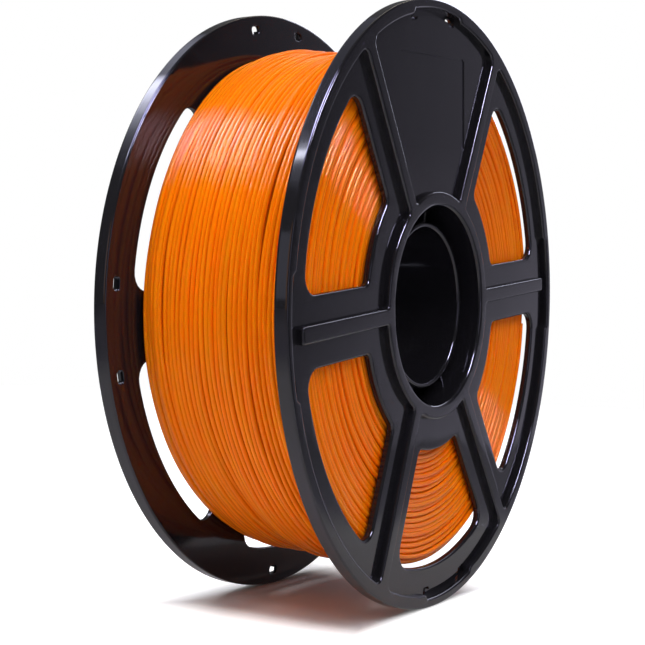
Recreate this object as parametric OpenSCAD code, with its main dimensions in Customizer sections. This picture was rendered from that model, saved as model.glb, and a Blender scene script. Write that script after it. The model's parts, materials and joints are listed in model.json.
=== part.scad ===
/* [Flanges] */
// Diameter of both flanges
flange_d = 200; // [190:1:230]
// Width of the spool, measured across the two rims
spool_w = 67; // [50:0.5:90]
// Thickness of a flange at its raised rim, bars and hub ring
flange_t = 4.6; // [4:0.1:6]
// How far each flange leans outwards from the hub to the rim
dish = 1.2; // [0.4:0.1:2.5]
// Rounding of the rim's two edges
rim_round = 1; // [0.4:0.1:1.8]
// How far the spool is rolled round from having a bar level
roll_angle = 7.6; // [-30:0.1:30]

/* [Raised bars and rim] */
// Depth from the raised face to the floor around the windows
floor_depth = 2.2; // [1:0.1:2.6]
// Width of the raised rim
rim_w = 4.4; // [3:0.1:8]
// Width of each raised bar
bar_w = 5.2; // [3:0.1:10]
// Radial width of the raised ring around the hub
hub_ring_w = 4.8; // [3.5:0.1:7]
// Corner rounding of the floors next to the hub ring
floor_round_in = 1.5; // [0.5:0.1:3]
// Corner rounding of the floors next to the rim
floor_round_out = 3; // [1:0.1:5]
// Gap between the end of a level bar and the rim's inner edge
bar_end_gap = 4; // [2:0.1:8]

/* [Windows] */
// Width of the rim band left outside a window
window_rim_w = 13; // [9:0.1:22]
// Smallest radius of a window
window_r_in = 48.5; // [45:0.5:56]
// Width of the web left between two windows
window_web_w = 21.2; // [14:0.2:30]
// Corner rounding of the windows next to the hub
window_round_in = 3; // [1:0.1:5]
// Corner rounding of the windows next to the rim
window_round_out = 5.5; // [1:0.1:8]

/* [Grooves for the loose end] */
// Half of the angle that a groove takes up
groove_half_angle = 10; // [8:0.5:14]
// How far a groove cuts into the raised rim
groove_bite = 1.5; // [0.8:0.1:2]
// Width of a groove
groove_w = 2.4; // [1.8:0.1:3]
// Thickness left under a groove
groove_floor_t = 1.1; // [0.8:0.1:2]
// Length of the slot at each end of a groove
slot_l = 4.6; // [3:0.1:6]
// Width of the slot at each end of a groove
slot_w = 2.8; // [2:0.1:3.4]
// How far a slot stays inside the outer wall of its groove
slot_inset = 0.6; // [0.2:0.1:1]

/* [Label recess] */
// Length of the recess in the closed panel
label_l = 49; // [20:1:52]
// Height of the recess in the closed panel
label_h = 30; // [10:1:30]
// Radius at which the recess is centred
label_r = 67.4; // [64:0.2:70]
// Depth of the recess
label_depth = 0.4; // [0.2:0.1:0.8]

/* [Hub] */
// Diameter of the hole in each flange
hub_hole_d = 66.4; // [62:0.2:68]
// Length of the collar behind each flange
collar_l = 8; // [5:0.5:14]
// Wall of the collar
collar_t = 2.8; // [2:0.1:3.2]
// Wall of the winding drum
drum_t = 2.5; // [1.5:0.1:4]
// Diameter of the bore
bore_d = 52; // [48:0.5:56]
// Wall of the bore sleeve
sleeve_t = 2; // [1.2:0.1:2.4]
// Depth of the sleeve's lip behind the hub ring
sleeve_inset = 5; // [2:0.5:10]
// Number of ribs on the sleeve
rib_count = 8; // [4:1:12]
// Thickness of a rib
rib_t = 1.6; // [1:0.1:3]
// Depth of a rib's end behind the sleeve's lip
rib_inset = 3; // [1:0.5:4]
// Turn of the ribs against the flange's bars
rib_turn = 33; // [0:1:44]

/* [Filament] */
// Diameter of the filament
filament_d = 1.75; // [1.5:0.05:1.9]
// Outer diameter of the full winding, next to the flanges
winding_d = 168; // [130:1:172]
// How much fuller the winding is midway than at the flanges
crown = 2; // [0:0.1:3]
// Turns in the outer layer
turns = 24; // [8:1:24]

/* [Fits] */
// Interference where a piece is pressed or wound onto another
press = 0.05; // [0.02:0.01:0.1]
// Gap between the filament and the flanges
side_gap = 0.8; // [0.1:0.05:1.5]
// Gap between the outer turns and the layers below
layer_gap = 0.03; // [0.01:0.01:0.1]

/* [Hidden] */

$fn = 64;
over = 1;                      // how far a cutter runs past what it cuts
bar_count = 6;
bar_step = 360 / bar_count;     // angle from one bar to the next
panel_angle = 90;              // the closed panel's place among the bars
arc_steps = 4;                 // straight steps in a rounded corner
wide_steps = 12;               // straight steps in a long arc
bend_step = 22.5;              // angle of each straight step in a bend
end_angles = [0, 90, 180, 270]; // where the grooves are centred

flange_r = flange_d / 2;
half_w = spool_w / 2;
hub_hole_r = hub_hole_d / 2;
hub_ring_r = hub_hole_r + hub_ring_w;
rim_in_r = flange_r - rim_w;
window_r_out = flange_r - window_rim_w;
groove_r_out = rim_in_r + groove_bite;
groove_r_in = groove_r_out - groove_w;
slot_r = groove_r_out - slot_w / 2 - slot_inset;
bar_end_r = rim_in_r - bar_end_gap;
collar_r = hub_hole_r + collar_t;
drum_in_r = collar_r - press;
drum_r = drum_in_r + drum_t;
bore_r = bore_d / 2;
sleeve_r = bore_r + sleeve_t;

// The turns are straight between rings, so they dip between them.
rings = 24;
sides = 6;
tube_r = filament_d / 2;
turn_r = winding_d / 2 - tube_r;
bend_r = 1.5 * filament_d;
tuck_r = turn_r - bend_r - filament_d;
turn_reach = back_z(turn_r) - side_gap - tube_r;
pack_steps = 8;

// Radius of the outer turns at a height, and of the pack that carries them.
function turn_r_at(z) = turn_r + crown * (1 - pow(z / turn_reach, 2));
function pack_r_at(z) = turn_r_at(z) * cos(180 / rings) - tube_r - layer_gap;

// Height above the mid-plane of the raised face, and of depths below it.
function face_z(r) = half_w - dish * (flange_r - r) / (flange_r - hub_hole_r);
function level_z(r, depth) = face_z(r) - depth;
function back_z(r) = level_z(r, flange_t);

function polar(r, a) = [r * cos(a), r * sin(a)];
function arc(c, r, a0, a1, n) = [for (i = [0:n]) c + polar(r, a0 + (a1 - a0) * i / n)];
function mirrored(points) = [for (i = [len(points) - 1:-1:0]) [points[i].x, -points[i].y]];

// Sector between two bars, with straight sides that keep gap clear of the
// bars' centre lines, an arc at each end and four rounded corners.
function corner_centre(r, gap) = let (s = sqrt(r * r - gap * gap))
    [s * cos(-bar_step / 2) - gap * sin(-bar_step / 2),
     s * sin(-bar_step / 2) + gap * cos(-bar_step / 2)];
function half_sector(r_in, r_out, gap, round_in, round_out) =
    let (c_in = corner_centre(r_in + round_in, gap + round_in),
         c_out = corner_centre(r_out - round_out, gap + round_out),
         a_in = atan2(c_in.y, c_in.x),
         a_out = atan2(c_out.y, c_out.x),
         a_side = -90 - bar_step / 2)
    concat(arc([0, 0], r_in, 0, a_in, wide_steps / 2),
           arc(c_in, round_in, a_in - 180, a_side, arc_steps),
           arc(c_out, round_out, a_side, a_out, arc_steps),
           arc([0, 0], r_out, a_out, 0, wide_steps / 2));
function unique(points) = [for (i = [0:len(points) - 1])
    if (norm(points[i] - points[(i + 1) % len(points)]) > 0.001) points[i]];
function sector(r_in, r_out, gap, round_in, round_out) =
    let (half = half_sector(r_in, r_out, gap, round_in, round_out))
    unique(concat(half, mirrored(half)));
function ring_sector(r_in, r_out, half_angle) =
    concat(arc([0, 0], r_out, -half_angle, half_angle, wide_steps),
           arc([0, 0], r_in, half_angle, -half_angle, wide_steps));

module prism(points) {
    translate([0, 0, -over]) linear_extrude(half_w + 2 * over) polygon(points);
}

// All the space above a level that follows the flange's lean.
module above(depth) {
    low = hub_hole_r - over;
    high = flange_r + over;
    rotate_extrude() polygon([
        [low, level_z(low, depth)], [high, level_z(high, depth)],
        [high, half_w + over], [low, half_w + over]]);
}

module plate() {
    top = half_w;
    bottom = back_z(flange_r);
    edge = flange_r - rim_round;
    rotate_extrude() polygon(concat(
        [[hub_hole_r, back_z(hub_hole_r)]],
        arc([edge, bottom + rim_round], rim_round, -90, 0, arc_steps),
        arc([edge, top - rim_round], rim_round, 0, 90, arc_steps),
        [[hub_hole_r, face_z(hub_hole_r)]]));
}

module collar() {
    bottom = back_z(hub_hole_r) - collar_l;
    rotate_extrude() polygon([
        [hub_hole_r, bottom], [collar_r, bottom],
        [collar_r, back_z(collar_r) + over], [hub_hole_r, back_z(hub_hole_r) + over]]);
}

// The six floors, cut down from the raised face between the bars.
module floors() {
    intersection() {
        above(floor_depth);
        union() {
            for (i = [0:bar_count - 1]) rotate(bar_step * (i + 0.5))
                prism(sector(hub_ring_r, rim_in_r, bar_w / 2, floor_round_in, floor_round_out));
            for (a = [0, 180]) rotate(a)
                prism(ring_sector(bar_end_r, groove_r_out, groove_half_angle));
        }
    }
}

module windows() {
    for (i = [0:bar_count - 1]) {
        a = bar_step * (i + 0.5);
        if (a != panel_angle) rotate(a)
            prism(sector(window_r_in, window_r_out, window_web_w / 2,
                         window_round_in, window_round_out));
    }
}

module grooves() {
    intersection() {
        above(flange_t - groove_floor_t);
        for (a = end_angles) rotate(a)
            prism(ring_sector(groove_r_in, groove_r_out, groove_half_angle));
    }
}

// One slot right through the flange at each end of each groove.
module slots() {
    run = (slot_l - slot_w) / 2;
    half_angle = groove_half_angle - asin(slot_l / 2 / slot_r);
    for (a = end_angles, side = [-1, 1]) rotate(a + side * half_angle)
        translate([slot_r, 0, 0]) {
            for (y = [-run, run]) translate([0, y, 0]) cylinder(r = slot_w / 2, h = half_w + over);
            translate([-slot_w / 2, -run, 0]) cube([slot_w, 2 * run, half_w + over]);
        }
}

module label_recess() {
    intersection() {
        above(floor_depth + label_depth);
        rotate(panel_angle - 90) translate([-label_l / 2, label_r - label_h / 2, 0])
            cube([label_l, label_h, half_w + over]);
    }
}

// A flange with its outer face up.
module flange() {
    difference() {
        union() {
            plate();
            collar();
        }
        windows();
        floors();
        grooves();
        slots();
        label_recess();
    }
}

// Turns a piece from its axis along Z to the axle along Y, front at -Y.
module on_axle() {
    rotate([90, 0, 0]) rotate(roll_angle) children();
}

module front_flange() {
    color([0.12, 0.12, 0.13]) on_axle() flange();
}

module rear_flange() {
    color([0.12, 0.12, 0.13]) mirror([0, 1, 0]) on_axle() flange();
}

module winding_drum() {
    reach = back_z(drum_in_r);
    color([0.2, 0.2, 0.21]) on_axle() difference() {
        cylinder(r = drum_r, h = 2 * reach, center = true);
        cylinder(r = drum_in_r, h = 2 * (reach + over), center = true);
    }
}

module bore_sleeve() {
    reach = face_z(hub_hole_r) - sleeve_inset;
    lip = sleeve_t / 4;
    rib_reach = reach - rib_inset;
    color([0.15, 0.15, 0.16]) on_axle() {
        rotate_extrude() polygon([
            [bore_r, -reach + lip], [bore_r + lip, -reach],
            [sleeve_r - lip, -reach], [sleeve_r, -reach + lip],
            [sleeve_r, reach - lip], [sleeve_r - lip, reach],
            [bore_r + lip, reach], [bore_r, reach - lip]]);
        intersection() {
            for (i = [0:rib_count - 1]) rotate(rib_turn + 360 / rib_count * i)
                translate([sleeve_r - lip, -rib_t / 2, -rib_reach])
                    cube([hub_hole_r, rib_t, 2 * rib_reach]);
            cylinder(r = hub_hole_r + press, h = spool_w, center = true);
        }
    }
}

// Where the outer layer's two ends are tucked into the layers below.
module tuck(side) {
    deep = turn_r - tuck_r + over;
    long = bend_r + tube_r + layer_gap;
    wide = filament_d + 2 * layer_gap;
    translate([tuck_r + deep / 2, side * long / 2, side * turn_reach])
        cube([deep, long, wide], center = true);
}

module filament_pack() {
    low = drum_r - press;
    edge_r = pack_r_at(turn_reach);
    edge_z = back_z(edge_r) - side_gap;
    crest = [for (i = [1:pack_steps - 1])
        let (z = turn_reach * (2 * i / pack_steps - 1)) [pack_r_at(z), z]];
    color([0.93, 0.42, 0.05]) on_axle() difference() {
        rotate_extrude() polygon(concat(
            [[low, -back_z(low) + side_gap], [edge_r, -edge_z]], crest,
            [[edge_r, edge_z], [low, back_z(low) - side_gap]]));
        for (side = [-1, 1]) tuck(side);
    }
}

// Centre line of the outer layer: in from the layers below, round a bend,
// along the turns, and back into the layers below.
function turn_point(a) =
    let (z = turn_reach * (2 * a / (360 * turns) - 1), r = turn_r_at(z))
    [r * cos(a), r * sin(a), z];
function end_point(side, out, along) = [turn_r - out, -side * along, side * turn_reach];
function bend(side, a) = end_point(side, bend_r * (1 - cos(a)), -bend_r * sin(a));

turn_path = concat(
    [end_point(-1, bend_r + filament_d, -bend_r)],
    [for (a = [90:-bend_step:bend_step]) bend(-1, a)],
    [for (i = [0:rings * turns]) turn_point(360 / rings * i)],
    [for (a = [bend_step:bend_step:90]) bend(1, a)],
    [end_point(1, bend_r + filament_d, -bend_r)]);

function unit(v) = v / norm(v);
function tangent(path, i) = unit(path[min(i + 1, len(path) - 1)] - path[max(i - 1, 0)]);
function ring(path, i) =
    let (t = tangent(path, i), u = unit(cross(t, [0, 0, 1])), v = cross(t, u))
    [for (k = [0:sides - 1]) path[i] + tube_r * (cos(360 / sides * k) * u + sin(360 / sides * k) * v)];

module tube(path) {
    n = len(path);
    points = [for (i = [0:n - 1]) each ring(path, i)];
    walls = [for (i = [0:n - 2], k = [0:sides - 1])
        let (a = i * sides + k, b = i * sides + (k + 1) % sides)
        each [[a, b, a + sides], [b, b + sides, a + sides]]];
    caps = [for (k = [1:sides - 2])
        each [[0, k + 1, k], [(n - 1) * sides, (n - 1) * sides + k, (n - 1) * sides + k + 1]]];
    polyhedron(points, concat(walls, caps));
}

// Least gap between the turns, from each ring to those about one turn on.
function least_gap(path) = min([for (i = [0:len(path) - 1 - rings / 2],
    j = [i + rings / 2:min(i + rings + rings / 2, len(path) - 1)])
    norm(path[i] - path[j])]) - filament_d;
echo(least_gap_between_turns = least_gap(turn_path));

module filament_outer_turns() {
    color([0.96, 0.46, 0.03]) on_axle() tube(turn_path);
}

front_flange();
rear_flange();
winding_drum();
bore_sleeve();
filament_pack();
filament_outer_turns();
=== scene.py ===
# %% [markdown]
# # A full filament spool
#
# A spool of printer filament is two moulded flanges on a hub, with one long
# plastic strand wound between them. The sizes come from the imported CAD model,
# which this script loads first and never moves. Everything here is the look:
# the moulded edges, the wound strand, the two plastics and the studio.
#
# The spool's axis lies along Y, its front flange faces -Y, and Z is up.

# %% Load the fixed frame
import json
from math import atan2, ceil, cos, degrees, hypot, pi, radians, sin, sqrt

import bmesh
import bpy
import numpy as np
from mathutils import Matrix, Vector


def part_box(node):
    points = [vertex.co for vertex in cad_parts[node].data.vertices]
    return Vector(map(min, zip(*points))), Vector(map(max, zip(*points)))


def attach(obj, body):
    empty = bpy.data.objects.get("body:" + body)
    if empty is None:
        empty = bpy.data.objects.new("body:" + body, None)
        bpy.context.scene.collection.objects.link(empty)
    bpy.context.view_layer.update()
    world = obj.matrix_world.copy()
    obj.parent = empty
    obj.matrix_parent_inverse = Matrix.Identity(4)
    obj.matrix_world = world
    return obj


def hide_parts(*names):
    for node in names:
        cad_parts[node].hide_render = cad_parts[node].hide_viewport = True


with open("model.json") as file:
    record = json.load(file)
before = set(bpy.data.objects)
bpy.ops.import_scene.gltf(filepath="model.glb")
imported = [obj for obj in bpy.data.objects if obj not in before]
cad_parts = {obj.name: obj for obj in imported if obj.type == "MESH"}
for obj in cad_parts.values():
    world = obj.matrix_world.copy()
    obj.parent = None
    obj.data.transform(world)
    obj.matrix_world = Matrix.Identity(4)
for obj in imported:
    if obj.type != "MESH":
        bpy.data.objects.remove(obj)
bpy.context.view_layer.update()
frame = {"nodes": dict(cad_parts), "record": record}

MM = 0.001

# %% [markdown]
# ## The driving sizes
#
# The big sizes are read back from the frame, so this script follows the CAD
# model when that is rebuilt. The smaller ones repeat the CAD's named values,
# in millimetres. Meshes are shaped in millimetres too, because round numbers
# are easier to check, and they are scaled to metres once, when finished.

# %% Sizes in millimetres
flange_low, flange_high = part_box("front_flange")
bore = frame["record"]["mounts"][0]["dims"]
flange_r = round((flange_high.x - flange_low.x) / 2 / MM, 1)
half_w = round(-flange_low.y / MM, 1)
bore_r = bore["r_mm"]
sleeve_reach = bore["length_mm"] / 2
roll_angle = 7.6

flange_t = 4.6
dish = 1.2
hub_hole_r = 33.2
hub_ring_r = 38.0
rim_in_r = flange_r - 4.4
floor_depth = 2.2
bar_half = 2.6
bar_step = 60
collar_r = 36.0
collar_l = 8.0
strand_d = 1.75
strand_r = strand_d / 2
print("flange radius", flange_r, "half width", half_w, "bore radius", bore_r)

# %% [markdown]
# ## The camera
#
# The camera stands close to the spool, low and well to its left, so that both
# the winding and the front flange show. Its place is worked out from angles
# and a distance, as they are set on a tripod: the turn round the spool, the
# tilt, the roll of the camera body, how far away it stands, and how far the
# spool sits off the middle of the view.

# %% Camera
def view_axes(turn, tilt, roll):
    """The camera's right, up and back directions."""
    back = Vector((sin(turn) * cos(tilt), -cos(turn) * cos(tilt), sin(tilt)))
    right = (-back).cross(Vector((0, 0, 1))).normalized()
    up = right.cross(-back)
    rolled_right = cos(roll) * right + sin(roll) * up
    rolled_up = cos(roll) * up - sin(roll) * right
    return rolled_right, rolled_up, back


def link_new(name, data):
    """A new object that shows the data, linked to the scene."""
    made = bpy.data.objects.new(name, data)
    bpy.context.scene.collection.objects.link(made)
    return made


camera_turn = radians(-59.975)
camera_tilt = radians(-0.611)
camera_roll = radians(2.236)
camera_distance = 456.87
offset_right = 11.80
offset_up = 6.51
lens_mm = 73.68
sensor_mm = 36.0

right, up, back = view_axes(camera_turn, camera_tilt, camera_roll)
camera_place = back * camera_distance - right * offset_right - up * offset_up
camera_data = bpy.data.cameras.new("camera")
camera_data.lens = lens_mm
camera_data.sensor_width = sensor_mm
camera_data.clip_start = 0.01
camera_data.clip_end = 20
camera = link_new("camera", camera_data)
camera.matrix_world = Matrix.Translation(camera_place * MM) @ Matrix(
    (right, up, back)).transposed().to_4x4()
bpy.context.scene.camera = camera
print("camera at", [round(c) for c in camera_place], "mm")

# %% [markdown]
# ## Colours and nodes
#
# Colours are picked as hex values, as a screen shows them, but a shader works
# with linear light, so one function turns the first into the second. One more
# small function adds a node with its settings and its links, which keeps each
# material's recipe down to a list of short lines.

# %% Helpers for materials
def colour(code):
    """A hex colour as the linear colour that a shader expects."""
    parts = [int(code[i:i + 2], 16) / 255 for i in (1, 3, 5)]
    linear = [c / 12.92 if c <= 0.04045 else ((c + 0.055) / 1.055) ** 2.4 for c in parts]
    return (*linear, 1)


def add(material, kind, links=(), **values):
    """Adds a node. links pairs an input with the socket that feeds it."""
    node = material.node_tree.nodes.new("ShaderNode" + kind)
    for name, value in values.items():
        if hasattr(node, name):
            setattr(node, name, value)
        else:
            node.inputs[name.replace("_", " ")].default_value = value
    for name, socket in links:
        material.node_tree.links.new(node.inputs[name], socket)
    return node


def new_material(name):
    """An empty material with an output node."""
    material = bpy.data.materials.new(name)
    material.use_nodes = True
    material.node_tree.nodes.clear()
    return material


def plug_in(material, shader, socket="Surface"):
    """Links a shader to a new material output."""
    add(material, "OutputMaterial", [(socket, shader)])

# %% [markdown]
# ## Gloss black plastic
#
# The flanges, hub and drum are injection moulded in black polystyrene or ABS
# from a polished mould. The eye sees almost no colour of its own: the surface
# is read by its reflections, which are sharp but ripple slightly, because the
# plastic shrinks as it cools. So the base is nearly black, the IOR is that of
# polystyrene, and two faint noises do the rest. One is a broad ripple, tens of
# millimetres wide, in the bump. The other, a few millimetres wide, breaks up
# the roughness as handling does.

# %% Material: moulded black plastic
ripple_mm = 24
ripple_height_mm = 0.2
smear_mm = 5
smear_range = (0.8, 1.3)
noise_range = (0.3, 0.7)

def moulded_plastic(name, code, roughness):
    """Polished black plastic with shrink ripples and faint handling smears."""
    material = new_material(name)
    place = add(material, "TexCoord").outputs["Object"]
    smear = add(material, "TexNoise", [("Vector", place)],
                Scale=1 / (smear_mm * MM), Detail=3, Roughness=0.55)
    gloss = add(material, "MapRange", [("Value", smear.outputs["Fac"])],
                From_Min=noise_range[0], From_Max=noise_range[1],
                To_Min=roughness * smear_range[0], To_Max=roughness * smear_range[1])
    ripple = add(material, "TexNoise", [("Vector", place)],
                 Scale=1 / (ripple_mm * MM), Detail=1)
    bump = add(material, "Bump", [("Height", ripple.outputs["Fac"])],
               Strength=0.25, Distance=ripple_height_mm * MM)
    shader = add(material, "BsdfPrincipled",
                 [("Roughness", gloss.outputs["Result"]), ("Normal", bump.outputs["Normal"])],
                 Base_Color=colour(code), IOR=1.47)
    plug_in(material, shader.outputs["BSDF"])
    return material


gloss_black = moulded_plastic("gloss_black_polystyrene", "#17161A", 0.09)
print(gloss_black.name, "has", len(gloss_black.node_tree.nodes), "nodes")

# %% [markdown]
# ## Orange filament
#
# Filament is extruded through a die and drawn through cooling water, so its
# surface is smooth with very fine lines along it. The plastic lets light in a
# little way: where strands lie close together, light goes from one to the next
# and comes out redder. Subsurface scattering of about a millimetre gives that.
# The colour also drifts along the strand, so a noise is stretched round the
# axis: its coordinates are the height across the winding and the direction
# from the axis, so that it runs with the turns.

# %% Material: translucent orange strand
drift_stretch = 2.5
line_height_mm = 0.012
scatter_mm = 1.4
scatter_colour = (1.0, 0.35, 0.08)

def extruded_strand(name):
    """Slightly translucent orange plastic whose pattern follows the turns."""
    material = new_material(name)
    place = add(material, "TexCoord").outputs["Object"]
    axes = add(material, "SeparateXYZ", [("Vector", place)])
    flat = add(material, "CombineXYZ",
               [("X", axes.outputs["X"]), ("Z", axes.outputs["Z"])])
    radius = add(material, "VectorMath", [(0, flat.outputs["Vector"])], operation="LENGTH")
    heading = add(material, "VectorMath", [(0, flat.outputs["Vector"])], operation="NORMALIZE")
    per_strand = 1 / (strand_d * MM)
    across = add(material, "Math", [(0, axes.outputs["Y"])], operation="MULTIPLY")
    across.inputs[1].default_value = per_strand
    outwards = add(material, "Math", [(0, radius.outputs["Value"])], operation="MULTIPLY")
    outwards.inputs[1].default_value = per_strand
    rungs = add(material, "CombineXYZ",
                [("X", across.outputs["Value"]), ("Y", outwards.outputs["Value"])])
    along = add(material, "VectorMath", [(0, heading.outputs["Vector"]),
                                         (2, rungs.outputs["Vector"])], operation="MULTIPLY_ADD")
    along.inputs[1].default_value = (drift_stretch,) * 3
    drift = add(material, "TexNoise", [("Vector", along.outputs["Vector"])], Scale=0.7, Detail=2)
    tint = add(material, "ValToRGB", [("Fac", drift.outputs["Fac"])])
    tint.color_ramp.elements[0].position = 0.35
    tint.color_ramp.elements[0].color = colour("#FF7A02")
    tint.color_ramp.elements[1].position = 0.65
    tint.color_ramp.elements[1].color = colour("#FF8605")
    lines = add(material, "TexNoise", [("Vector", along.outputs["Vector"])], Scale=1.1, Detail=1)
    gloss = add(material, "MapRange", [("Value", lines.outputs["Fac"])],
                From_Min=noise_range[0], From_Max=noise_range[1], To_Min=0.05, To_Max=0.08)
    bump = add(material, "Bump", [("Height", lines.outputs["Fac"])],
               Strength=1, Distance=line_height_mm * MM)
    shader = add(material, "BsdfPrincipled",
                 [("Base Color", tint.outputs["Color"]), ("Roughness", gloss.outputs["Result"]),
                  ("Normal", bump.outputs["Normal"])],
                 IOR=1.43, Specular_Tint=colour("#FFCC90"),
                 Subsurface_Weight=0.5, Subsurface_Scale=scatter_mm * MM)
    shader.inputs["Subsurface Radius"].default_value = scatter_colour
    plug_in(material, shader.outputs["BSDF"])
    return material


orange_strand = extruded_strand("extruded_orange_filament")
print(orange_strand.name, "has", len(orange_strand.node_tree.nodes), "nodes")

# %% [markdown]
# ## From a bmesh to a finished piece
#
# Every piece goes through the same last steps: doubles are merged, faces are
# turned outwards, millimetres become metres, and smooth shading is cut at the
# sharp edges. A Weighted Normal modifier then lets the large faces set the
# shading, so that a rounded edge doesn't tint the flat next to it.

# %% Finish a piece
sharp_angle = 32

def to_mesh(bm, name, material):
    """The bmesh as a mesh of one material. The bmesh is freed."""
    mesh = bpy.data.meshes.new(name)
    bm.to_mesh(mesh)
    bm.free()
    mesh.materials.append(material)
    return mesh


def finish_piece(bm, name, material, nodes=()):
    """Turns a bmesh in millimetres into an object that rides on the spool."""
    bmesh.ops.remove_doubles(bm, verts=bm.verts[:], dist=0.001)
    bmesh.ops.recalc_face_normals(bm, faces=bm.faces[:])
    bmesh.ops.scale(bm, vec=(MM, MM, MM), verts=bm.verts[:])
    for face in bm.faces:
        face.smooth = True
    open_edges = sum(not edge.is_manifold for edge in bm.edges)
    mesh = to_mesh(bm, name, material)
    mesh.set_sharp_from_angle(angle=radians(sharp_angle))
    piece = link_new(name, mesh)
    weighted = piece.modifiers.new("weighted_normal", "WEIGHTED_NORMAL")
    weighted.keep_sharp = True
    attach(piece, "root")
    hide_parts(*nodes)
    print(name, len(mesh.polygons), "faces,", open_edges, "open edges")
    return piece

# %% [markdown]
# ## Outlines
#
# Seen from the front, everything on a flange is made of arcs round its centre
# and straight bars. A point is given by its radius and its angle, and an arc
# gets as many steps as its length needs. The floor between two bars is a
# sector with rounded corners. One half of it is drawn, and mirrored.

# %% Points, arcs and sectors
step_mm = 1.7
least_steps = 6
same_point_mm = 0.01

def polar(radius, angle):
    """A point on the face, at an angle that turns from +X towards +Z."""
    return Vector((radius * cos(radians(angle)), 0, radius * sin(radians(angle))))


def arc(centre, radius, start, end):
    """Points round a centre, close enough together to look round."""
    steps = max(least_steps, ceil(radians(abs(end - start)) * radius / step_mm))
    return [centre + polar(radius, start + (end - start) * i / steps) for i in range(steps + 1)]


def mirrored(points):
    """The same points with Z turned over, in the opposite order."""
    return [Vector((p.x, 0, -p.z)) for p in reversed(points)]


def turned(points, angle):
    """The points turned round the spool's axis."""
    turn = Matrix.Rotation(radians(-angle), 3, "Y")
    return [turn @ p for p in points]


def closed(points):
    """The outline without points that fall on the one before."""
    return [p for p, q in zip(points, points[-1:] + points[:-1]) if (p - q).length > same_point_mm]


def angle_of(point):
    """The angle at which a point lies, seen from the spool's axis."""
    return degrees(atan2(point.z, point.x))


def corner_centre(radius, gap, bar_angle):
    """Where an arc that keeps a gap from a bar's centre line is centred."""
    along = sqrt(radius * radius - gap * gap)
    return polar(along, bar_angle) + polar(gap, bar_angle + 90)

# %% [markdown]
# ## The floors and windows
#
# Four floors lie between the bars. Two are plain sectors. The other two wrap
# round the tip of a level bar, which stops short of the rim. Each floor has a
# notch in the middle of its outer side, where the groove for the strand's
# loose end cuts into the rim. The windows are sectors set further in.

# %% Outlines of the floors and windows
groove_half = 10.0
groove_out_r = rim_in_r + 1.5
notch_slope = 0.9
bar_tip_r = rim_in_r - 4.0
tip_round = 1.1
floor_round_in = 1.5
floor_round_out = 3.0

def half_floor(bar_angle):
    """The floor from the bar at bar_angle up to the groove's middle."""
    inner = corner_centre(hub_ring_r + floor_round_in, bar_half + floor_round_in, bar_angle)
    outer = corner_centre(rim_in_r - floor_round_out, bar_half + floor_round_out, bar_angle)
    side = bar_angle - 90
    return (arc(inner, floor_round_in, angle_of(inner) - 180, side)
            + arc(outer, floor_round_out, side, angle_of(outer))
            + arc(Vector(), rim_in_r, angle_of(outer), -groove_half - notch_slope)
            + arc(Vector(), groove_out_r, -groove_half, 0))


def plain_floor():
    """Floor between two bars, 60 degrees apart, with a notch at its outer side."""
    half = half_floor(-bar_step / 2)
    start = arc(Vector(), hub_ring_r, 0, angle_of(half[0]))
    return closed(start + half + mirrored(start + half))


def wrapped_floor():
    """Floor that wraps round the tip of the level bar at angle 0."""
    half = half_floor(-bar_step)
    tip = Vector((bar_tip_r - tip_round, 0, tip_round - bar_half))
    inner = corner_centre(hub_ring_r + floor_round_in, bar_half + floor_round_in, 0)
    inner.z = -inner.z
    start = (arc(tip, tip_round, 0, -90)
             + arc(inner, floor_round_in, 90, 180 + angle_of(inner))
             + arc(Vector(), hub_ring_r, angle_of(inner), angle_of(half[0])))
    return closed(start + half + mirrored(start + half))

# %% Outline of a window
window_in_r = 48.5
window_out_r = flange_r - 13.0
window_half_web = 10.6
window_round_in = 3.0
window_round_out = 5.5

def window():
    """A window between two bars, centred on angle 0."""
    inner = corner_centre(window_in_r + window_round_in, window_half_web + window_round_in,
                          -bar_step / 2)
    outer = corner_centre(window_out_r - window_round_out, window_half_web + window_round_out,
                          -bar_step / 2)
    side = -90 - bar_step / 2
    half = (arc(Vector(), window_in_r, 0, angle_of(inner))
            + arc(inner, window_round_in, angle_of(inner) - 180, side)
            + arc(outer, window_round_out, side, angle_of(outer))
            + arc(Vector(), window_out_r, angle_of(outer), 0))
    return closed(half + mirrored(half))


print("points in a floor, a wrapped floor and a window:",
      len(plain_floor()), len(wrapped_floor()), len(window()))

# %% [markdown]
# ## The grooves
#
# On a real spool the loose end is pushed through a slot at the rim so that the
# turns can't spring loose. Each groove here has a slot at both ends. Seen from
# the front, groove and slots are one opening in the floor, so one outline goes
# round all three, and the slots go on through the flange below it.

# %% Outlines of a groove and its slots
ledge = 0.1
groove_w = 2.4
groove_in_r = groove_out_r - groove_w
slot_w = 2.8
slot_inset = 0.6
slot_out_r = groove_out_r - slot_inset
slot_in_r = slot_out_r - slot_w
slot_l = 4.6
slot_round = 1.3
mouth_round = 0.9
slot_angle = degrees(slot_l / (slot_in_r + slot_w / 2))
end_angle = 0.15

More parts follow.
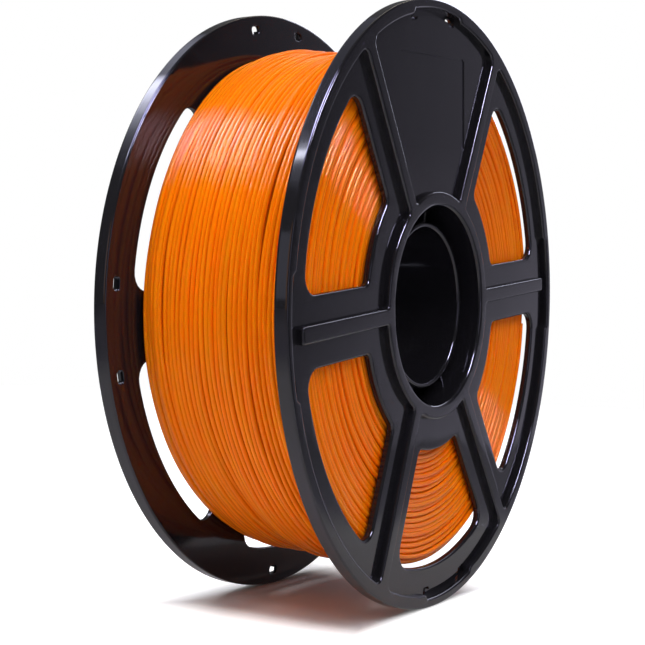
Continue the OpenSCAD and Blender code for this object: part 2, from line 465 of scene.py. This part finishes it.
def ring_patch(r_in, r_out, start, end, rounding):
    """A rounded patch of a ring, from one angle to another."""
    inset_in = degrees(rounding / (r_in + rounding))
    inset_out = degrees(rounding / (r_out - rounding))
    low_in = polar(r_in + rounding, start + inset_in)
    low_out = polar(r_out - rounding, start + inset_out)
    high_out = polar(r_out - rounding, end - inset_out)
    high_in = polar(r_in + rounding, end - inset_in)
    return closed(arc(low_in, rounding, start + inset_in + 180, start + 270)
                  + arc(low_out, rounding, start - 90, start + inset_out)
                  + arc(Vector(), r_out, start + inset_out, end - inset_out)
                  + arc(high_out, rounding, end - inset_out, end + 90)
                  + arc(high_in, rounding, end + 90, end - inset_in + 180)
                  + arc(Vector(), r_in, end - inset_in, start + inset_in))


def groove_opening():
    """The opening of a groove and its two slots, centred on angle 0."""
    edge = groove_half - end_angle
    near = edge - slot_angle
    turn = degrees(mouth_round / (slot_in_r + mouth_round))
    corner = polar(slot_in_r + mouth_round, near + turn)
    far_corner = polar(slot_in_r + mouth_round, edge - turn)
    half = (arc(Vector(), groove_in_r, 0, near)
            + arc(corner, mouth_round, near - 90, near + turn - 180)
            + arc(far_corner, mouth_round, edge - turn + 180, edge + 90)
            + [polar(groove_out_r - ledge, edge)]
            + arc(Vector(), groove_out_r - ledge, edge, 0))
    whole = half + mirrored(half)
    return closed(list(reversed(whole)))


def slot(side):
    """A slot at one end of a groove that is centred on angle 0."""
    edge = groove_half - end_angle - ledge
    ends = sorted((side * edge, side * (edge - slot_angle + end_angle)))
    return ring_patch(slot_in_r + ledge, slot_out_r, *ends, slot_round - ledge)


print("points in a groove's opening and a slot:", len(groove_opening()), len(slot(1)))

# %% Outline of the label recess
label_l = 49.0
label_h = 30.0
label_r = 67.4
label_round = 0.5

def label_recess():
    """The shallow recess for a label, in the panel at the top."""
    x = label_l / 2 - label_round
    z = label_h / 2 - label_round
    middle = Vector((0, 0, label_r))
    return closed(arc(middle + Vector((x, 0, z)), label_round, 0, 90)
                  + arc(middle + Vector((-x, 0, z)), label_round, 90, 180)
                  + arc(middle + Vector((-x, 0, -z)), label_round, 180, 270)
                  + arc(middle + Vector((x, 0, -z)), label_round, 270, 360))


print("the label recess is", label_l, "by", label_h, "mm")

# %% [markdown]
# ## Walls and caps
#
# A moulding has no sharp edges, and on black plastic the rounded edges are
# what draws the shape, as thin bright lines. A Bevel modifier could round
# them, but it struggles where hundreds of short edges meet a large face. So
# each wall is lofted: the outline is laid down at several depths, offset a
# little at each to make the rounding, and every ring is bridged to the next.
# The flats are then filled between the last rings, which leaves them exact.

# %% Helpers that loft walls and fill flats
def grown(outline, distance):
    """The outline with each point moved outwards along its mitre."""
    moved = []
    for before, point, after in zip(outline[-1:] + outline[:-1], outline, outline[1:] + outline[:1]):
        a = (point - before).normalized()
        b = (after - point).normalized()
        normal_a = Vector((a.z, 0, -a.x))
        normal_b = Vector((b.z, 0, -b.x))
        mitre = (normal_a + normal_b) / (1 + normal_a.dot(normal_b))
        moved.append(point + mitre * distance)
    return moved


def lay_ring(bm, outline, depth):
    """Edges round an outline, at a depth behind the raised face."""
    ring = [bm.verts.new(point + Vector((0, depth, 0))) for point in outline]
    return [bm.edges.new(pair) for pair in zip(ring, ring[1:] + ring[:1])]


def loft(bm, outline, profile):
    """Bridges rings of the outline, one for each (growth, depth), and returns the end rings."""
    rings = [lay_ring(bm, grown(outline, growth), depth) for growth, depth in profile]
    for upper, lower in zip(rings, rings[1:]):
        bmesh.ops.bridge_loops(bm, edges=upper + lower)
    return rings[0], rings[-1]


def cap(bm, *rings):
    """Fills a flat between an outer ring and the rings of its holes."""
    edges = [edge for ring in rings for edge in ring]
    bmesh.ops.triangle_fill(bm, use_beauty=True, use_dissolve=False, edges=edges)

# %% Profiles of rounded edges
def round_over(radius, depth=0.0, steps=4):
    """Profile of an edge that rounds over from a face down into a wall."""
    angles = [pi / 2 * i / steps for i in range(steps + 1)]
    return [(radius * (1 - sin(a)), depth + radius * (1 - cos(a))) for a in angles]


def round_under(radius, depth, steps=3):
    """Profile of an edge that rounds from a wall out into a face at a depth."""
    return [(growth, 2 * depth - d) for growth, d in reversed(round_over(radius, depth, steps))]


print("depths down a rounding of 1 mm:", [round(d, 2) for _, d in round_over(1)])

# %% [markdown]
# ## A flange
#
# Both flanges come from one mould, so one function makes the flange, flat at
# first. Its wall profiles start at the raised face, at depth 0, and go back.
# The real one isn't flat: it leans outwards from the hub to the rim, which
# stiffens it. A flat sheet has no points in its middle to lean, so a grid of
# bisecting planes cuts some in, and then every point slides along the axis.
# A ring of points beside each rounding of the rim keeps its side truly flat,
# so that the light draws one thin line along the rim and not a smear.

# %% Walls of the grooves and windows
groove_bottom_t = 1.1
groove_depth = flange_t - groove_bottom_t
groove_draft = 0.02
slot_back_round = 0.3
window_round = 0.9
back_round = 0.4

def groove_cut(bm, angle):
    """Walls and floor of one groove. Returns its opening and its slots' far rings."""
    opening, bottom = loft(bm, turned(groove_opening(), angle),
                           [(0, floor_depth), (-groove_draft, groove_depth)])
    slot_profile = [(0, groove_depth)] + round_under(slot_back_round, flange_t)
    slots = [loft(bm, turned(slot(side), angle), slot_profile) for side in (-1, 1)]
    cap(bm, bottom, *[near for near, far in slots])
    return opening, [far for near, far in slots]


def window_cut(bm, angle):
    """Walls of one window. Returns its front and back rings."""
    profile = round_over(window_round, floor_depth) + round_under(back_round, flange_t)
    return loft(bm, turned(window(), angle), profile)

# %% A flat flange
rim_round = 0.6
rim_guard = 0.3
hub_round = 1.2
collar_round = 0.5
wall_round = 0.8
panel_angle = 90
label_depth = 0.4
label_draft = 0.15

def flat_flange():
    """A whole flange whose raised face lies at depth 0."""
    bm = bmesh.new()
    rim = closed(arc(Vector(), flange_r, 0, 360))
    rim_top, rim_back = loft(bm, rim, [(-g, d) for g, d in round_over(rim_round)]
                             + [(0, rim_round + rim_guard), (0, flange_t - rim_round - rim_guard)]
                             + [(-g, d) for g, d in round_under(rim_round, flange_t)])
    hub = closed(arc(Vector(), hub_hole_r, 0, 360))
    collar_end = flange_t + collar_l
    collar_t = collar_r - hub_hole_r
    hub_top, collar_root = loft(bm, hub, round_over(hub_round) + [
        (0, collar_end - collar_round), (collar_round, collar_end),
        (collar_t - collar_round, collar_end), (collar_t, collar_end - collar_round),
        (collar_t, flange_t)])

    face_holes = [hub_top]
    back_holes = [collar_root]
    for floor, angle, windows in ((wrapped_floor(), 0, (30, 330)), (wrapped_floor(), 180, (150, 210)),
                                  (plain_floor(), panel_angle, ()), (plain_floor(), 270, (270,))):
        top, bottom = loft(bm, turned(floor, angle), round_over(wall_round) + [(0, floor_depth)])
        face_holes.append(top)
        opening, far_slots = groove_cut(bm, angle)
        floor_holes = [opening]
        back_holes.extend(far_slots)
        for window_angle in windows:
            front, far = window_cut(bm, window_angle)
            floor_holes.append(front)
            back_holes.append(far)
        if angle == panel_angle:
            label_profile = [(label_draft, floor_depth), (0, floor_depth + label_depth)]
            lip, base = loft(bm, label_recess(), label_profile)
            floor_holes.append(lip)
            cap(bm, base)
        cap(bm, bottom, *floor_holes)
    cap(bm, rim_top, *face_holes)
    cap(bm, rim_back, *back_holes)
    return bm

# %% Lean the flange, and make its mirror image for the rear
grid_mm = 8.5
cut_mm = 0.0005

def cut_grid(bm, spacing):
    """Cuts the mesh along a grid, so that its flats have points to move."""
    count = int(flange_r / spacing)
    for normal in (Vector((1, 0, 0)), Vector((0, 0, 1))):
        for k in range(-count, count + 1):
            bmesh.ops.bisect_plane(bm, geom=bm.verts[:] + bm.edges[:] + bm.faces[:], dist=cut_mm,
                                   plane_co=normal * (spacing * k), plane_no=normal)


def lean(bm):
    """Slides every point along the axis, so that the flange leans outwards."""
    for vert in bm.verts:
        radius = hypot(vert.co.x, vert.co.z)
        drop = dish * (flange_r - radius) / (flange_r - hub_hole_r)
        vert.co.y += drop - half_w


def flange(name, side):
    """A flange for the front (side 1) or its mirror image for the rear (side -1)."""
    bm = flat_flange()
    cut_grid(bm, grid_mm)
    lean(bm)
    bmesh.ops.rotate(bm, verts=bm.verts[:], matrix=Matrix.Rotation(radians(-roll_angle), 3, "Y"))
    bmesh.ops.scale(bm, vec=(1, side, 1), verts=bm.verts[:])
    return finish_piece(bm, name, gloss_black, [name.replace("_moulding", "")])


flange("front_flange_moulding", 1)
flange("rear_flange_moulding", -1)

# %% [markdown]
# ## The bore sleeve
#
# The sleeve is what the holder's shaft goes through. It is a tube, so half of
# its wall is drawn as a profile and spun round the axis. The profile starts
# with a rounded lip at the front and ends with the same at the rear. Eight
# ribs join the sleeve to the collars. Each is a small cube, stretched and
# bevelled, whose ends stand back from the lip.

# %% Sleeve with its ribs
sleeve_t = 2.0
rib_count = 8
rib_turn = 33
rib_t = 1.6
rib_inset = 3.0
rib_round = 0.3
rib_root = 0.4
lip_step = 18
sleeve_steps = 128

def sleeve_profile():
    """Cross-section of the sleeve's wall, in the plane where Z is 0."""
    middle = bore_r + sleeve_t / 2
    radius = sleeve_t / 2
    half = [(middle + radius * cos(radians(a)), radius * sin(radians(a)) - sleeve_reach + radius)
            for a in range(-180, 1, lip_step)]
    return half + [(2 * middle - r, -y) for r, y in half]


def spun(profile, steps):
    """A bmesh of a closed profile of (radius, across), spun round the axis."""
    bm = bmesh.new()
    verts = [bm.verts.new((float(r), float(y), 0)) for r, y in profile]
    edges = [bm.edges.new(pair) for pair in zip(verts, verts[1:] + verts[:1])]
    bmesh.ops.spin(bm, geom=verts + edges, cent=(0, 0, 0), axis=(0, 1, 0), angle=2 * pi,
                   steps=steps, use_merge=True)
    return bm


def bore_sleeve():
    """The sleeve and its ribs as one piece."""
    bm = spun(sleeve_profile(), sleeve_steps)
    rib_in = bore_r + sleeve_t / 2
    rib_out = hub_hole_r + rib_root
    for i in range(rib_count):
        made = bmesh.ops.create_cube(bm, size=1)["verts"]
        bmesh.ops.scale(bm, verts=made, vec=(rib_out - rib_in, 2 * (sleeve_reach - rib_inset), rib_t))
        bmesh.ops.translate(bm, verts=made, vec=((rib_in + rib_out) / 2, 0, 0))
        sides = {edge for vert in made for edge in vert.link_edges}
        rounded = bmesh.ops.bevel(bm, geom=list(sides), offset=rib_round, offset_type="OFFSET",
                                  segments=2, profile=0.5, affect="EDGES", material=-1)["verts"]
        angle = rib_turn + roll_angle + i * 360 / rib_count
        bmesh.ops.rotate(bm, verts=rounded, matrix=Matrix.Rotation(radians(-angle), 3, "Y"))
    return finish_piece(bm, "hub_sleeve", gloss_black, ["bore_sleeve"])


bore_sleeve()

# %% [markdown]
# ## The drum
#
# The winding hides the drum, so the CAD model's plain tube stays as it is and
# only gets the flanges' plastic.

# %% The drum's plastic
drum_mesh = frame["nodes"]["winding_drum"].data
drum_mesh.materials.clear()
drum_mesh.materials.append(gloss_black)
print("winding_drum", len(drum_mesh.polygons), "faces")

# %% [markdown]
# ## How a strand stacks
#
# The winding is one strand, laid turn by turn from flange to flange and back.
# Two things give it its look. Turns lie in the valleys of the layer below, and
# cross its ridges where the two layers drift in opposite directions. And the
# strand is never laid quite evenly, so some turns ride up and leave gaps.
# Drawing identical rings would show neither. So the turns are laid here one
# after another, as the winding machine does: at each station round the axis
# a new turn rests on whatever is already there.
#
# The winding isn't round either. Its last layers are a millimetre or two
# fuller midway than at the flanges, they lie higher on one side, and they sag
# a little underneath. winding_radius() holds that shape as a sum of swells,
# with their places and spreads in millimetres or radians. A turn that rides up
# rises less and less above it, because tension pulls it down.

# %% The winding's shape
edge_r = 84.0
crown = 1.7
crown_reach = 27.5

def swell(value, middle, spread, power=2):
    """A smooth rise to 1 at the middle that has gone at twice the spread."""
    return np.exp(-((value - middle) / spread) ** power)


def inner_face(radius):
    """Distance from the middle to the flange's inner face at a radius."""
    return half_w - flange_t - dish * (flange_r - radius) / (flange_r - hub_hole_r)


def winding_radius(y, angle):
    """Outer radius of the winding across its width (y) and round the axis."""
    even = edge_r + crown * (1 - (y / crown_reach) ** 2)
    top = swell(angle, pi / 2, 0.7)
    bottom = swell(angle, 4.28, 0.5)
    right = swell(np.where(angle < 2, angle, angle - 2 * pi), -0.35, 1.45, power=4)
    left = swell(angle, 3.5, 0.35)
    ridge = swell(y, 18.5, 5.5)
    hollow = swell(y, -2, 9)
    dip = swell(y, 8, 5)
    middle = swell(y, -8, 9)
    edge = swell(y, -27, 6)
    return (even + 2.6 * right + 0.8 * left
            + top * (2.2 * ridge - 1.2 * hollow)
            - bottom * (1.3 + 1.8 * dip - 1.2 * middle - 2.4 * edge))


print("winding radius on top, from front to rear:",
      [round(float(winding_radius(y, pi / 2)), 1) for y in (-27, -14, 0, 14, 27)])

# %% How the turns stray
rng = np.random.default_rng(7)
stations = 144
waves = 6
turns_per_jump = 2.5
jump = 1.6

def wander(turns, size):
    """How far each point of a layer strays sideways from an even winding."""
    s = np.arange(int(turns * stations)) / stations
    stray = np.zeros(len(s))
    for wave in range(1, waves + 1):
        phase, shift = rng.uniform(0, 2 * pi, 2)
        stray += np.cos(2 * pi * wave * s + (shift - pi) * 0.6 * s + phase) / wave ** 0.7
    stray *= size / 2
    for centre in rng.uniform(1, turns - 1, int(turns / turns_per_jump)):
        width = rng.uniform(0.05, 0.16)
        stray += rng.choice((-1, 1)) * size * jump * swell(s, centre, width)
    return stray

# %% How a layer is laid on the one below
inner_gap = 0.25
sink = 0.12
squeeze = 0.88 * strand_d
pile_limit = 1.7
ease = np.hanning(13) / np.hanning(13).sum()
ripple_size = 0.1
ripple = np.hanning(11)[1:-1] / sqrt((np.hanning(11) ** 2).sum())

def lay_layer(below, radius_drop, turns, direction, size):
    """Lays one layer on the turns below. Returns its points as (across, radius) by station."""
    total = int(turns * stations)
    s = np.arange(total) / stations
    station = np.arange(total) % stations
    angle = 2 * pi * s
    reach = inner_face(edge_r) - inner_gap - strand_r
    across = direction * (2 * reach * s / turns - reach) + wander(turns, size)
    across = np.clip(across, -reach, reach)
    even = winding_radius(across, angle % (2 * pi)) - strand_r - radius_drop
    radius = even.copy()
    laid = [list(column) for column in below]
    for i in range(total):
        column = laid[station[i]]
        own = column[len(below[station[i]]):]
        for y, r in below[station[i]]:
            gap = abs(across[i] - y)
            if gap < strand_d:
                radius[i] = max(radius[i], r + sqrt(strand_d ** 2 - gap * gap) - sink)
        for y, r in own[-2:]:
            gap = abs(across[i] - y)
            if gap < squeeze:
                radius[i] = max(radius[i], r + sqrt(squeeze ** 2 - gap * gap))
        column.append((across[i], radius[i]))
    radius = even + pile_limit * (1 - np.exp((even - radius) / pile_limit))
    eased = np.convolve(np.pad(radius, len(ease) // 2, mode="edge"), ease, mode="valid")
    grain = rng.normal(size=total + len(ripple) - 1)
    eased += ripple_size * np.convolve(grain, ripple, mode="valid")
    own = [[] for _ in range(stations)]
    for i in range(total):
        own[station[i]].append((across[i], eased[i]))
    return own, np.column_stack((angle, across, eased))

# %% Lay three layers
no_turns = [[] for _ in range(stations)]
layer_rise = 1.55
turn_count = 33
third, third_path = lay_layer(no_turns, 2 * layer_rise, turn_count, 1, 0.3)
second, second_path = lay_layer(third, layer_rise, turn_count, -1, 0.35)
_, outer_path = lay_layer(second, 0.0, turn_count, 1, 0.45)
print("outer turns from", round(float(outer_path[:, 2].min()), 2),
      "to", round(float(outer_path[:, 2].max()), 2), "mm radius")

# %% [markdown]
# ## From a path to a strand
#
# A curve with a round bevel is the shortest way to a strand of even
# thickness. Each path becomes one open spline, so a layer is one unbroken
# strand, as it is on the real spool. Eight sides are enough for a strand as
# thin as this, because they are shaded smooth.

# %% Strands as bevelled curves
def to_xyz(path):
    """Points in metres from rows of (angle, across, radius)."""
    angle, across, radius = path[:, 0], path[:, 1], path[:, 2]
    return np.column_stack((radius * np.cos(angle), across, radius * np.sin(angle))) * MM


def strand(name, paths, nodes=()):
    """One piece made of round strands along the given paths."""
    data = bpy.data.curves.new(name, "CURVE")
    data.dimensions = "3D"
    data.bevel_depth = strand_r * MM
    data.bevel_resolution = 2
    data.use_fill_caps = True
    for path in paths:
        points = to_xyz(path)
        spline = data.splines.new("POLY")
        spline.points.add(len(points) - 1)
        spline.points.foreach_set("co", np.column_stack((points, np.ones(len(points)))).ravel())
    data.materials.append(orange_strand)
    piece = link_new(name, data)
    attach(piece, "root")
    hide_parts(*nodes)
    print(name, sum(len(path) for path in paths), "points")
    return piece


strand("filament_outer_layer", [outer_path], ["filament_outer_turns"])
strand("filament_second_layer", [second_path])
strand("filament_third_layer", [third_path])

# %% [markdown]
# ## The turns beside the flanges
#
# Through the windows the winding is seen from its side: one turn of every
# layer, from the drum out to the rim. The strand climbs from layer to layer
# there, so what shows is a spiral. It isn't an even one, because each layer
# stops where it happens to meet the flange. A second spiral lies behind it and
# fills the gaps, and a solid core fills the rest, out of sight.

# %% Spirals beside each flange
side_first_r = 46.5
side_last_r = 82.6
side_rise = 1.62
side_waves = 5
side_wave = 0.4
side_step = 0.35
side_ease = np.hanning(25) / np.hanning(25).sum()

def side_spiral(side, depth, phase, size):
    """A spiral up the side of the winding, depth behind its outermost face."""
    turns = (side_last_r - side_first_r) / side_rise
    s = np.arange(int(turns * stations)) / stations
    angle = 2 * pi * s + phase
    radius = side_first_r + side_rise * s
    set_back = np.zeros(len(s))
    for wave in range(1, side_waves + 1):
        start, shift, again = rng.uniform(0, 2 * pi, 3)
        radius += size * 0.5 * np.cos(2 * pi * wave * s + (shift - pi) * 0.4 * s + start) / wave
        set_back += side_wave * np.cos(2 * pi * wave * s + (again - pi) * 0.9 * s + start) / wave
    set_back = np.abs(set_back) + side_step * (np.floor(s) % 2)
    set_back = np.pad(set_back, len(side_ease) // 2, mode="edge")
    set_back = np.convolve(set_back, side_ease, mode="valid")
    across = -side * (inner_face(radius) - inner_gap - strand_r - depth - set_back)
    return np.column_stack((angle, across, radius))


def side_turns(name, side):
    """The two spirals beside one flange, as one piece."""
    near = side_spiral(side, depth=0.0, phase=0.4, size=0.5)
    far = side_spiral(side, depth=1.5, phase=2.0, size=0.4)
    return strand(name, [near, far])


side_turns("filament_front_turns", 1)
side_turns("filament_rear_turns", -1)

# %% [markdown]
# ## The inner layers
#
# Nobody sees the layers inside, but the winding has to be full: light must not
# shine through it. They are one solid of revolution, a few vertices spun round
# the axis, whose outer side dips between turns in case a gap shows it.

# %% Core of the winding
core_in_r = 38.5
core_edge_r = 80.0
core_drop = 5.1
core_back = 3.4
core_dip = 0.4
core_points = 61
core_steps = 96

def winding_core():
    """The inner layers as one spun solid."""
    end = inner_face(core_edge_r) - core_back
    crest = [(winding_radius(y, pi) - core_drop - core_dip * (k % 2), y)
             for k, y in enumerate(np.linspace(-end, end, core_points))]
    bm = spun([(core_in_r, -end), *crest, (core_in_r, end)], core_steps)
    return finish_piece(bm, "filament_inner_layers", orange_strand, ["filament_pack"])


winding_core()

# %% [markdown]
# ## The floor
#
# The floor is a disc of white paper. Where the spool shades it, it shows what
# the lamps leave there, a warm grey from light that has been through the
# winding. Outside a box round that shadow it is lifted to white, for what the
# camera sees and not for what lights the spool, so that the view's edges are
# clean and the shadow stays. Far from the spool its colour is a painted shade:
# the paper darkens to grey there, standing in for the lamps' light falling
# off. Only its reflections show that painted shade, and they are darker for it.

# %% Material: white paper
floor_z = -flange_r * MM
shadow_x = -0.042
fade_x = 0.026
shadow_y = 0.029
fade_y = 0.009
beyond_x = 0.02
fade_beyond = 0.04
paper_middle = (-0.02, 0, floor_z)
# Where the paper's painted shade begins, and where it is full grey.
falloff_start_r = 0.22
falloff_end_r = 0.32

def paper(name):
    """Matt paper that a camera sees as white, that keeps shadows, and whose colour is a painted
    shade, darker far from the spool.
    """
    material = new_material(name)
    place = add(material, "TexCoord").outputs["Object"]
    distance = add(material, "VectorMath", [(0, place)], operation="DISTANCE")
    distance.inputs[1].default_value = paper_middle
    edge = add(material, "MapRange", [("Value", distance.outputs["Value"])],
               From_Min=falloff_start_r, From_Max=falloff_end_r, To_Min=0, To_Max=1)
    # Painted shade: the paper's colour goes from near white to grey far from the spool, for light
    # falling off.
    painted_falloff_shade = add(material, "ValToRGB", [("Fac", edge.outputs["Result"])])
    painted_falloff_shade.color_ramp.elements[0].color = colour("#DEDCDC")
    painted_falloff_shade.color_ramp.elements[1].color = colour("#8C8B94")
    matt = add(material, "BsdfPrincipled", [("Base Color", painted_falloff_shade.outputs["Color"])], Roughness=0.5)
    path = add(material, "LightPath")
    seen = add(material, "Math", [(0, path.outputs["Is Camera Ray"]),
                                  (1, path.outputs["Is Transmission Ray"])], operation="MAXIMUM")
    spot = add(material, "SeparateXYZ", [("Vector", place)])
    fades = [add(material, "MapRange", [("Value", spot.outputs[axis])],
                 interpolation_type="SMOOTHSTEP", From_Min=start, From_Max=end,
                 To_Min=before, To_Max=1 - before).outputs["Result"]
             for axis, start, end, before in (
                 ("X", shadow_x - fade_x, shadow_x, 1), ("X", beyond_x, beyond_x + fade_beyond, 0),
                 ("Y", -shadow_y - fade_y, -shadow_y, 1), ("Y", shadow_y, shadow_y + 2 * fade_y, 0))]
    lift = fades[0]
    for fade in fades[1:]:
        lift = add(material, "Math", [(0, lift), (1, fade)], operation="MAXIMUM").outputs["Value"]
    strength = add(material, "Math", [(0, seen.outputs["Value"]), (1, lift)],
                   operation="MULTIPLY")
    glow = add(material, "Emission", [("Strength", strength.outputs["Value"])])
    both = add(material, "AddShader", [(0, matt.outputs["BSDF"]), (1, glow.outputs["Emission"])])
    plug_in(material, both.outputs["Shader"])
    return material

# %% Floor
floor_r = 1.5
floor_steps = 96

def stage_piece(bm, name, material):
    """Links a stage mesh, in metres, to the scene."""
    bmesh.ops.recalc_face_normals(bm, faces=bm.faces[:])
    piece = link_new(name, to_mesh(bm, name, material))
    return piece


bm = bmesh.new()
bmesh.ops.create_circle(bm, cap_ends=True, radius=floor_r, segments=floor_steps)
bmesh.ops.translate(bm, verts=bm.verts[:], vec=(0, 0, floor_z))
stage_piece(bm, "floor", paper("white_floor_paper"))
print("floor at", round(floor_z / MM), "mm")

# %% [markdown]
# ## The lamps
#
# Gloss black plastic and a smooth strand show the lamps themselves, so the
# lamps' shapes are the highlights' shapes. A lamp that is wide enough to light
# the winding softly would draw broad streaks on every strand, so the two jobs
# are split. The lamps below give the light and reflections don't show them:
# two long softboxes, one behind the spool and one in front of it, a broad one
# overhead, and two weak fills on the left. Light that comes from behind gets
# past the front flange's rim, so the winding is as bright beside it.

# %% Lamps
def lamp(name, start, end, width, radiance):
    """A long white lamp from start to end, in millimetres, that gloss doesn't show."""
    first = Vector(start) * MM
    last = Vector(end) * MM
    along = (last - first).normalized()
    middle = (first + last) / 2
    away = (middle - along * middle.dot(along)).normalized()
    data = bpy.data.lights.new(name, "AREA")
    data.shape = "RECTANGLE"
    data.size = (last - first).length
    data.size_y = width * MM
    data.energy = radiance * pi * data.size * data.size_y
    light = link_new(name, data)
    light.matrix_world = Matrix.Translation(middle) @ Matrix(
        (along, away.cross(along), away)).transposed().to_4x4()
    light.visible_glossy = False
    print(name, "is", round(data.size, 2), "m long and", round(middle.length, 2), "m away")


lamp("rear_softbox", (80, 520, 640), (-480, 520, 640), 200, 5.2)
lamp("front_softbox", (100, -450, 840), (-480, -740, 420), 200, 6.5)
lamp("overhead_softbox", (-300, -440, 640), (-300, 240, 640), 560, 2.6)
lamp("side_fill", (-1200, 900, 300), (-1500, 0, 300), 700, 1.0)
lamp("low_fill", (-650, -300, 10), (-650, 600, 10), 200, 0.9)

# %% [markdown]
# ## The cards that gloss shows
#
# These give the highlights and no light. Each is a long glowing strip that
# only reflections see, brighter in parts. Black plastic mirrors a strip whole,
# so its brightness along its length is what the flange's rim shows. A strand
# mirrors it as one thin line, where the strand's side leans towards it.

# %% A card that only reflections see
def mirror_card(name, start, end, width, radiance, levels, tint="#D9D4FF"):
    """A glowing card from start to end, in mm. levels pairs places along it with brightness."""
    material = new_material(name)
    along = add(material, "Attribute", attribute_name="along").outputs["Fac"]
    ramp = add(material, "ValToRGB", [("Fac", along)])
    bands = ramp.color_ramp.elements
    bands.remove(bands[1])
    for k, (place, level) in enumerate(levels):
        band = bands[0] if k == 0 else bands.new(place)
        band.position = place
        band.color = (level, level, level, 1)
    strength = add(material, "Math", [(0, ramp.outputs["Color"])], operation="MULTIPLY")
    strength.inputs[1].default_value = radiance
    glow = add(material, "Emission", [("Strength", strength.outputs["Value"])],
               Color=colour(tint))
    plug_in(material, glow.outputs["Emission"])
    first = Vector(start) * MM
    last = Vector(end) * MM
    across = (last - first).cross(first + last).normalized() * width / 2 * MM
    bm = bmesh.new()
    layer = bm.verts.layers.float.new("along")
    corners = [bm.verts.new(corner) for corner in
               (first - across, last - across, last + across, first + across)]
    bm.faces.new(corners)
    for corner, value in zip(corners, (0, 1, 1, 0)):
        corner[layer] = value
    card = stage_piece(bm, name, material)
    card.visible_camera = False
    card.visible_diffuse = False
    card.visible_transmission = False
    card.visible_shadow = False
    print(name, "is", round((last - first).length, 2), "m long")

# %% Hang the cards
mirror_card("rear_rim_card", (372, 455, 620), (-661, 558, 620), 120, 14,
            [(0, 0.02), (0.14, 0.08), (0.26, 0.1), (0.355, 0.1), (0.39, 1), (0.43, 1),
             (0.49, 0.75), (0.58, 0.33), (0.68, 0.1), (0.8, 0.03), (1, 0.02)], "#E6E8FF")
mirror_card("front_rim_card", (360, 265, 600), (-820, 420, 600), 140, 24,
            [(0, 0.01), (0.4, 0.014), (0.6, 0.025), (0.66, 0.06), (0.705, 0.2), (0.72, 1),
             (0.745, 1), (0.765, 0.15), (0.8, 0.05), (1, 0.01)], "#E6E8FF")
mirror_card("streak_card", (-112, 78, 600), (-652, 229, 600), 225, 50,
            [(0, 0), (0.12, 0.4), (0.25, 1), (0.5, 1), (0.7, 0.4), (1, 0)], "#C8C4FF")
mirror_card("top_card", (620, 60, 600), (40, 110, 600), 40, 6.5,
            [(0, 0.6), (0.5, 1), (0.8, 0.3), (1, 0)], "#FFF4E0")
mirror_card("front_card", (180, -640, 600), (-300, -640, 600), 90, 140,
            [(0, 0), (0.2, 1), (0.8, 1), (1, 0.2)])
mirror_card("edge_card", (-690, -980, 0), (-210, -1180, 0), 800, 1.8,
            [(0, 0.5), (0.5, 1), (1, 0.5)])
mirror_card("side_card", (-1200, 785, 240), (-1330, 560, 240), 520, 1.0,
            [(0, 0.9), (1, 0.9)], "#E6E8FF")
mirror_card("outline_card", (660, -130, 360), (660, 190, 360), 380, 7.0,
            [(0, 0.5), (0.3, 1), (1, 1)], "#E6E8FF")
mirror_card("warm_card", (-1340, 520, 150), (-1450, 60, 150), 900, 1.8,
            [(0, 1), (1, 1)], "#FFB470")

# %% [markdown]
# ## The studio's walls
#
# The world stands for the studio: grey walls fill the shadows, the camera sees
# white behind the floor, and reflections see a dark room, as black plastic
# needs. A graded card to the right, which only reflections see, gives the
# front flange its slow change from dark to lighter.

# %% World
camera_grey = 1.0
wall_grey = 0.25
mirror_grey = 0.12
world = bpy.data.worlds.new("studio")
world.use_nodes = True
bpy.context.scene.world = world
path = add(world, "LightPath")
seen_white = add(world, "Math", [(0, path.outputs["Is Camera Ray"])], operation="MULTIPLY_ADD")
seen_white.inputs[1].default_value = camera_grey - wall_grey
seen_white.inputs[2].default_value = wall_grey
mirrored_dark = add(world, "Math", [(0, path.outputs["Is Glossy Ray"]),
                                    (2, seen_white.outputs["Value"])], operation="MULTIPLY_ADD")
mirrored_dark.inputs[1].default_value = mirror_grey - wall_grey
sky = world.node_tree.nodes["Background"]
world.node_tree.links.new(sky.inputs["Strength"], mirrored_dark.outputs["Value"])
sky.inputs["Color"].default_value = colour("#FFFFFF")
print("walls:", wall_grey, "and in reflections", mirror_grey)

# %% Graded card
card_half = 0.5
card_place = (0.8, 0, 0.402)
card_turn = -30

def graded_card():
    """A card beside the camera's view that only reflections see, dark with a lighter side."""
    material = new_material("graded_card")
    axes = add(material, "SeparateXYZ", [("Vector", add(material, "TexCoord").outputs["Object"])])
    sideways = add(material, "MapRange", [("Value", axes.outputs["Y"])],
                   From_Min=-0.5, From_Max=-0.2, To_Min=0.04, To_Max=0.5)
    low = add(material, "MapRange", [("Value", axes.outputs["Z"])],
              From_Min=-0.12, From_Max=0.16, To_Min=2.3, To_Max=1.0)
    level = add(material, "Math", [(0, sideways.outputs["Result"]), (1, low.outputs["Result"])],
                operation="MULTIPLY")
    glow = add(material, "Emission", [("Strength", level.outputs["Value"])],
               Color=colour("#ECE8FF"))
    plug_in(material, glow.outputs["Emission"])
    bm = bmesh.new()
    bmesh.ops.create_grid(bm, x_segments=1, y_segments=1, size=card_half)
    bmesh.ops.rotate(bm, verts=bm.verts[:], matrix=Matrix.Rotation(radians(90), 3, "Y"))
    bmesh.ops.translate(bm, verts=bm.verts[:], vec=card_place)
    bmesh.ops.rotate(bm, verts=bm.verts[:], matrix=Matrix.Rotation(radians(card_turn), 3, "Z"))
    card = stage_piece(bm, "graded_card", material)
    card.visible_camera = False
    card.visible_diffuse = False
    card.visible_shadow = False


graded_card()
bpy.context.scene.view_settings.view_transform = "Standard"
